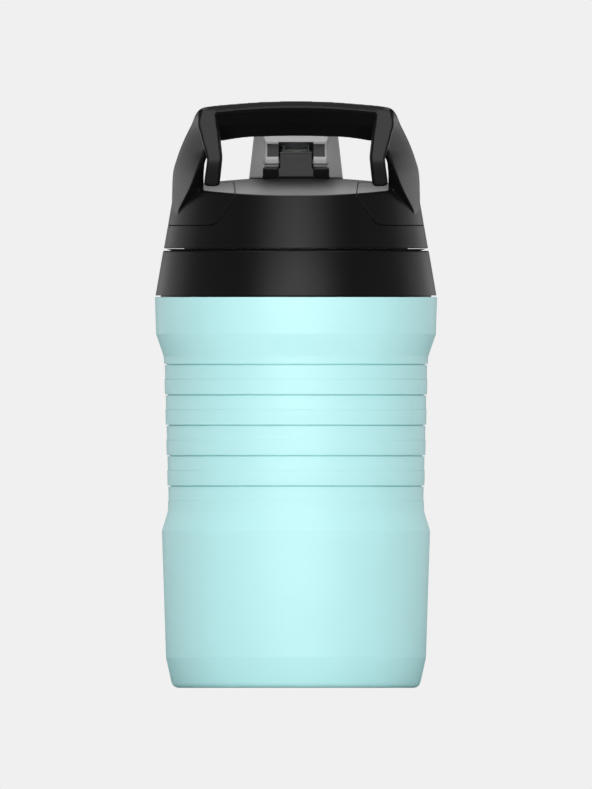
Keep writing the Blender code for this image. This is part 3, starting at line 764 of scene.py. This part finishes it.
def strap_rings():
    """The strap's closed sections, finely spaced, from the right foot over to the left one."""
    half = [[Vector(p) for p in row] for row in STRAP]
    whole = half + [[Vector((-p.x, p.y, p.z)) for p in row] for row in reversed(half[:-1])]
    shares = [k / 12 for k in range(1, 12)]
    rings = []
    for front, middle, rear, inner_rear, inner_front in smooth_between(whole, 6):
        lip = min(1.0, max(0.0, (front.z - 288) / 7))        # the grip's front edge is a rounded lip
        bend = middle * 2 - (front + rear) / 2
        outside = [front * (1 - t) ** 2 + bend * (2 * t * (1 - t)) + rear * t * t for t in shares]
        nose = inner_front.lerp(front, 0.4) - Vector((0, 0.3 * lip, 0))
        tuck = Vector((0, 0.9 * lip, 0))
        crown, inner_front = front + tuck, inner_front + tuck
        section = [(*crown, 0.8 + 0.2 * lip), *((*p, 0) for p in outside), (*rear, 1.2), (*inner_rear, 0.8),
                   (*(middle + inner_rear - rear), 0), (*inner_front, 0.8), (*nose, 0.6)]
        rings.append(filleted(section, 4))
    return rings


def prong_rings(side):
    stations = [[Vector((z, a, b)), Vector((f, r, 0))] for z, a, b, f, r in PRONG]
    rings = []
    for (z, a, b), (f, r, _) in smooth_between(stations, 4):
        outline = filleted([(side * a, f, 0.9), (side * b, f, 1.3), (side * b, r, 1.0),
                            (side * (a - PRONG_DRAFT), r, 1.0)], 4)
        rings.append([(x, y, z) for x, y in outline])
    return rings


class JUG_OT_handle(bpy.types.Operator):
    """Mould the handle: two inset feet, the strap and two hook prongs in one piece"""
    bl_idname = "jug.handle"
    bl_label = "Hook handle"

    def execute(self, context):
        settings = context.scene.jug_handle
        handle = self.clear_of_lid(skin("hook_handle", strap_rings()))
        for side in (1, -1):
            foot = combine(foot_region(side, 0.0), [skin("form", lid_rings(0, 1.2, LID_BOTTOM))], 'INTERSECT')
            gather(handle, [self.clear_of_lid(foot), skin("prong", prong_rings(side))])
        blend_edges(handle, settings.blend_grid, settings.relax, keep=0.5)
        dress(handle, "black grained polypropylene", "lid", "black_handle", "handle")
        return {'FINISHED'}

    def clear_of_lid(self, thing):
        """Keep only what lies outside the bottom of the lid's foot pockets."""
        return combine(thing, [skin("core", lid_rings(FOOT_DEPTH, 1.2, LID_BOTTOM - 9))], 'DIFFERENCE')


# ---------------------------------------------------------------- flip cap, hinge and latch

CAP_PLAN = ((16.9, -11.3, 0.8), (24.0, 3.0, 6.0), (24.0, 44.0, 8.0), (17.0, 57.8, 12.0))
CAP_TOP, CAP_WALL, CAP_MID, CAP_DRAFT = 284.0, 2.2, 259.4, 0.1137
PLATE_LOW, PLATE_HIGH, PLATE_HALF = 270.9, 277.4, 14.7      # the recessed plate's heights and half width
PARTING_LOW, PARTING_HIGH = 266.8, 267.4                    # the barrels' parting line


def cap_rings(inset, low, high, edge):
    """Rings of the cap's tapered hood, with a rounded top edge."""
    corners = [*CAP_PLAN, *((-x, y, r) for x, y, r in reversed(CAP_PLAN))]
    levels = [(low, 0.0), ((low + high) / 2, 0.0)]
    for step in range(7):
        turn = math.pi / 2 * step / 6
        levels.append((high - edge + edge * math.sin(turn), edge * (1 - math.cos(turn))))
    rings = []
    for z, rounding in levels:
        amount = -inset - rounding - (z - CAP_MID) * CAP_DRAFT
        moved = grown([corner[:2] for corner in corners], amount)
        outline = filleted([(x, y, max(0.6, r + amount)) for (x, y), (_, _, r) in zip(moved, corners)], 6)
        rings.append([(x, y, z) for x, y in outline])
    return rings


class JUG_OT_cap(bpy.types.Operator):
    """Mould the flip cap with its hinge barrels and catch, and set its spout seal"""
    bl_idname = "jug.cap"
    bl_label = "Flip cap"

    def execute(self, context):
        ceiling = CAP_TOP - 2.5
        cap = skin("flip_hood", cap_rings(0.0, 250.0, CAP_TOP, 1.6))
        chamfer = prism("chamfer", [(-30.0, 278.1), (-9.3, 278.1), (-1.2, 286.0), (-30.0, 286.0)],
                        -40, 40, 'X')
        hollow = skin("hollow", cap_rings(CAP_WALL, 245.0, ceiling, 0.8))
        under = prism("under", [(-30.0, 275.6), (-10.0, 275.6), (-3.0, 282.6), (-3.0, 290.0), (-30.0, 290.0)],
                      -50, 50, 'X')
        combine(hollow, [under], 'DIFFERENCE')
        # The front lower corner is trimmed to the arc on which it swings past the deck.
        swing = prism("swing", [(-30.0, 240.0), (-9.0, 240.0), (-9.0, 260.2), (-11.3, 260.6), (-12.6, 261.1),
                                (-30.0, 268.0)], -40, 40, 'X')
        combine(cap, [chamfer, hollow, skin("clearance", lid_rings(-0.25, 0.0, LID_BOTTOM - 5, 96)), swing,
                      block("relief", (-16.9, -30, 240), (16.9, -3.0, HINGE_Z))], 'DIFFERENCE')
        combine(cap, [rod("barrel", BARREL_R, 8.8, HINGE_HALF), rod("barrel", BARREL_R, -HINGE_HALF, -8.8),
                      block("catch", (-7.0, 54.8, 254.4), (7.0, 56.6, 256.6))], 'UNION')
        blend_edges(cap, grid=0.0005, rounds=2)
        past = HINGE_HALF + 0.1
        parting = [block("parting", (low, -12.0, PARTING_LOW), (high, -10.6, PARTING_HIGH))
                   for low, high in ((8.0, past), (-past, -8.0))]
        plate = prism("plate", [(-30.0, PLATE_LOW), (-9.45, PLATE_LOW), (-8.7, PLATE_HIGH),
                                (-30.0, PLATE_HIGH)], -PLATE_HALF, PLATE_HALF, 'X')
        combine(cap, [plate, *parting, block("window", (-8.9, -30, 240), (8.9, -5.0, 278.4)),
                      rod("hole", PIN_HOLE_R, -past, past)], 'DIFFERENCE')
        dress(cap, "grey smooth polypropylene", "cap", "black_handle", "flip_cap")
        # Painted shade: the cap's front plate, its parting line and its hollow get the black resin so they
        # look shaded.
        self.paint_cap_shade(cap)
        seal = turned("spout_pad", filleted([
            (0, 274.0, 0), (5.3, 274.0, 0.4), (5.3, 275.3, 0), (9.2, 275.3, 0.5), (9.2, 278.4, 0.5),
            (5.0, 278.4, 0.5), (5.0, ceiling - 0.3, 0), (0, ceiling - 0.3, 0)], closed=False),
            64, (0, SPOUT_Y))
        dress(seal, "grey moulded silicone", "cap", "grey_silicone", "spout_seal")
        return {'FINISHED'}

    def paint_cap_shade(self, cap):
        """Paint shade onto the cap: the recessed plate, the barrels' parting line and the hood's inside take
        the lid's black resin as painted shade, so they read dark.
        """
        cap.data.materials.append(finishes()["black smooth polypropylene"])
        for face in cap.data.polygons:
            x, y, z = face.center / MM
            # Painted shade: faces of the front plate, the parting groove and the hollow take the black slot.
            recessed = abs(x) < PLATE_HALF - 0.05 and y < -8.6 and PLATE_LOW + 0.1 < z < PLATE_HIGH - 0.1
            parting = y < -10.5 and PARTING_LOW - 0.05 < z < PARTING_HIGH + 0.05
            inside = abs(x) < 15.0 and -8.6 < y < 50.0 and z < 278.0
            if recessed or parting or inside:
                face.material_index = 1


class JUG_OT_hinge(bpy.types.Operator):
    """Make the hinge base with its towers and spring housing, the pin and the torsion spring"""
    bl_idname = "jug.hinge"
    bl_label = "Cap hinge"

    def execute(self, context):
        # The towers lean back towards the deck.
        base = prism("hinge_housing", [(-13.6, 255.0), (-4.6, 255.0), (-4.6, 265.0), (-16.6, 265.0),
                                       (-16.8, 264.6)], -16.5, 16.5, 'X')
        combine(base, [block("gap", (-9.2, -30.0, 260.8), (9.2, -13.2, 270.0))], 'DIFFERENCE')
        house = prism("house", [(-13.2, 258.0), (-4.8, 258.0), (-4.8, 273.4), (-12.4, 273.4), (-13.2, 272.3)],
                      -8.3, 8.3, 'X')
        combine(base, [house], 'UNION')
        blend_edges(base, grid=0.00025, rounds=2)
        flap = [block("line", (low, -14.0, 268.7), (high, -12.35, top))
                for low, high, top in ((-5.9, 5.9, 269.2), (-5.9, -5.45, 271.7), (5.45, 5.9, 271.7))]
        barrels = combine(rod("swept", BARREL_R + 0.2, -20, 20),
                          [block("kept", (-8.35, -30, 240), (8.35, 20, 290))], 'DIFFERENCE')
        combine(base, [block("pocket", (-7.1, -12.2, 264.3), (7.1, -5.8, 280.0)),
                       skin("clearance", lid_rings(-SEAM, 0.0, LID_BOTTOM - 5, 96)), barrels, *flap,
                       rod("hole", PIN_HOLE_R, -9.0, 9.0)], 'DIFFERENCE')
        dress(base, "black smooth polypropylene", "lid", "black_lid", "hinge_base")
        pin = rod("cap_pin", PIN_R, -HINGE_HALF, HINGE_HALF, edge=0.25)
        dress(pin, "phosphated spring wire", "lid", "steel", "hinge_pin")
        self.make_spring()
        return {'FINISHED'}

    def make_spring(self):
        """The cap's torsion spring: a coil round the pin whose two ends stand up in the window."""
        turns, radius, half_width, wire = 4.5, 2.35, 6.2, 0.4
        leg_foot, leg_top = 271.0, 276.6
        path = [(-half_width, HINGE_Y + radius, leg_top), (-half_width, HINGE_Y + radius, leg_foot)]
        steps = int(turns * 32)
        for k in range(steps + 1):
            turn = -2 * math.pi * k / 32
            path.append((-half_width + 2 * half_width * k / steps, HINGE_Y + radius * math.cos(turn),
                         HINGE_Z + radius * math.sin(turn)))
        path += [(half_width, HINGE_Y - radius, leg_foot), (half_width, HINGE_Y - radius, leg_top)]
        curve = bpy.data.curves.new("torsion_spring", 'CURVE')
        curve.dimensions = '3D'
        curve.bevel_depth = wire * MM
        curve.bevel_resolution = 3
        curve.use_fill_caps = True
        spline = curve.splines.new('POLY')
        spline.points.add(len(path) - 1)
        for point, place in zip(spline.points, path):
            point.co = (*(Vector(place) * MM), 1)
        guide = place_object("guide", curve)
        graph = bpy.context.evaluated_depsgraph_get()
        mesh = bpy.data.meshes.new_from_object(guide.evaluated_get(graph), depsgraph=graph)
        bpy.data.objects.remove(guide)
        spring = place_object("torsion_spring", mesh)
        outward(spring)
        dress(spring, "phosphated spring wire", "lid", "steel", "cap_spring")


class JUG_OT_latch(bpy.types.Operator):
    """Make the push button that frees the cap, and wind its return spring"""
    bl_idname = "jug.latch"
    bl_label = "Latch button"

    def execute(self, context):
        face = filleted([(50.9, 246.0, 0.4), (62.9, 246.0, 0.6), (62.3, 251.4, 0.8), (50.9, 252.9, 0.4)], 4)
        button = prism("push_button", face, -9.6, 9.6, 'X')
        combine(button, [block("post", (-6.0, 51.0, 250.0), (6.0, 53.0, 259.6)),
                         block("nose", (-6.0, 52.0, 257.4), (6.0, 54.3, 259.2))], 'UNION')
        combine(button, [block("bore", (-2.9, 45.0, 246.6), (2.9, 55.1, 250.4))], 'DIFFERENCE')
        blend_edges(button, grid=0.0003, rounds=3)
        dress(button, "black smooth polypropylene", "button", "black_handle", "latch_button")

        spring = place_mesh("return_spring", [(0, 0, 0)])
        low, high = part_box("button_spring")
        wire, height = 0.0003, 0.2485
        run_tree(spring, coil_tree(), {
            "Turns": 5.0, "Coil radius": 0.00145, "Length": high.y - low.y - 2 * wire, "Wire radius": wire,
            "Material": finishes()["drawn stainless wire"]})
        for vertex in spring.data.vertices:
            x, y, z = vertex.co
            vertex.co = (x, low.y + wire + z, height + y)
        outward(spring)
        dress(spring, "drawn stainless wire", "lid", "steel", "button_spring")
        return {'FINISHED'}


class JUG_OT_foam(bpy.types.Operator):
    """Give the hidden foam filling its material"""
    bl_idname = "jug.foam"
    bl_label = "Foam filling"

    def execute(self, context):
        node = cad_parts["foam_insulation"]
        node.data.materials.clear()
        node.data.materials.append(finishes()["poured urethane foam"])
        return {'FINISHED'}


# ---------------------------------------------------------------- stage

def area_light(name, place, target, size, power):
    """Aim a rectangular light that the camera itself doesn't see."""
    light = bpy.data.lights.new(name, 'AREA')
    light.shape = 'RECTANGLE'
    light.size, light.size_y = size
    light.energy = power
    lamp = place_object(name, light)
    lamp.location = place
    lamp.rotation_euler = (Vector(target) - Vector(place)).to_track_quat('-Z', 'Y').to_euler()
    lamp.visible_camera = False


class JUG_OT_stage(bpy.types.Operator):
    """Set the pale floor, the studio lights, the background and the camera"""
    bl_idname = "jug.stage"
    bl_label = "Stage"

    def execute(self, context):
        scene = context.scene
        power = scene.jug_stage
        scene.view_settings.view_transform = 'Standard'
        scene.view_settings.look = 'None'
        reach, depth, name = 8.0, -0.0005, "pale studio paper"
        corners = [(x * reach, y * reach, depth) for x, y in ((-1, -1), (1, -1), (1, 1), (-1, 1))]
        plane = place_mesh("floor", corners, faces=[(0, 1, 2, 3)])
        # A little light of its own keeps the paper pale out to the horizon.
        paper = linear("D9D9D9")
        new_material(name, {"Base Color": paper, "Roughness": 0.9, "Emission Color": paper,
                            "Emission Strength": 0.1})
        plane.data.materials.append(bpy.data.materials[name])
        plane.visible_glossy = False      # the floor stays out of the black parts' reflections

        world = bpy.data.worlds.new("studio")
        scene.world = world
        world.use_nodes = True
        tree = world.node_tree
        seen = tree.nodes["Background"]
        seen.inputs["Color"].default_value = linear("F0F0F0")
        dim = add_node(tree, "ShaderNodeBackground", {"Color": linear("F0F0F0"), "Strength": 0.04})
        path = add_node(tree, "ShaderNodeLightPath")
        mix = add_node(tree, "ShaderNodeMixShader", {"Fac": path.outputs["Is Camera Ray"]})
        tree.links.new(dim.outputs["Background"], mix.inputs[1])
        tree.links.new(seen.outputs["Background"], mix.inputs[2])
        tree.links.new(mix.outputs["Shader"], tree.nodes["World Output"].inputs["Surface"])

        low, high = CAD_BOX
        middle = (low + high) / 2
        area_light("front wall", (0, -1.1, 0.25), middle, (1.1, 0.9), power.front)
        area_light("front strip", (0, -1.1, 0.55), middle, (0.35, 0.5), power.key)
        area_light("high front", (0, -0.8, 1.0), middle, (0.7, 0.5), power.top * 0.14)
        area_light("ceiling", (0, 0, 1.2), middle, (0.8, 0.8), power.top)
        area_light("high back", (0, 0.9, 1.0), middle, (0.65, 0.5), power.back)
        for side in (1, -1):
            area_light("side wall", (side * 0.8, 1.0, 0.22), (0, 1.0, 0.22), (1.6, 0.45), power.sides)
            area_light("side fill", (side * 0.8, -0.15, 0.25), (0, -0.15, 0.2), (0.8, 0.6), power.fill)
        # The pale backdrop as the rims see it; the camera sees the world's even colour instead.
        area_light("backdrop", (0, 2.0, 0.22), (0, 0, 0.22), (2.8, 0.45), power.backdrop)

        camera = place_object("camera", bpy.data.cameras.new("camera"))
        camera.data.type = 'ORTHO'
        camera.data.ortho_scale = 0.4024
        camera.location = (0, -1.0, 0.1496)
        camera.rotation_euler = (math.pi / 2, 0, 0)
        scene.camera = camera
        return {'FINISHED'}


# ---------------------------------------------------------------- panel and registration

STEPS = ("stage", "body", "collar", "liner", "foam", "lid", "under_lid", "handle", "cap", "hinge", "latch")


class JUG_PT_panel(bpy.types.Panel):
    """Buttons for each group of pieces and the sizes they take"""
    bl_idname = "JUG_PT_panel"
    bl_label = "Hook-Handle Jug"
    bl_space_type = 'VIEW_3D'
    bl_region_type = 'UI'
    bl_category = "Jug"

    def draw(self, context):
        for step in STEPS:
            self.layout.operator("jug." + step)
        for group in (context.scene.jug_body, context.scene.jug_lid, context.scene.jug_handle,
                      context.scene.jug_stage):
            box = self.layout.box()
            for name in group.__annotations__:
                box.prop(group, name)


SETTINGS = {"jug_body": JugBodySettings, "jug_lid": JugLidSettings, "jug_handle": JugHandleSettings,
            "jug_stage": JugStageSettings}
OPERATORS = (JUG_OT_stage, JUG_OT_body, JUG_OT_collar, JUG_OT_liner, JUG_OT_foam, JUG_OT_lid,
             JUG_OT_under_lid, JUG_OT_handle, JUG_OT_cap, JUG_OT_hinge, JUG_OT_latch)


def register():
    for kind in (*SETTINGS.values(), *OPERATORS, JUG_PT_panel):
        bpy.utils.register_class(kind)
    for name, kind in SETTINGS.items():
        setattr(bpy.types.Scene, name, bpy.props.PointerProperty(type=kind))


def unregister():
    for name in SETTINGS:
        delattr(bpy.types.Scene, name)
    for kind in reversed((*SETTINGS.values(), *OPERATORS, JUG_PT_panel)):
        bpy.utils.unregister_class(kind)


def main():
    register()
    for step in STEPS:
        getattr(bpy.ops.jug, step)()


if __name__ == "__main__":
    main()
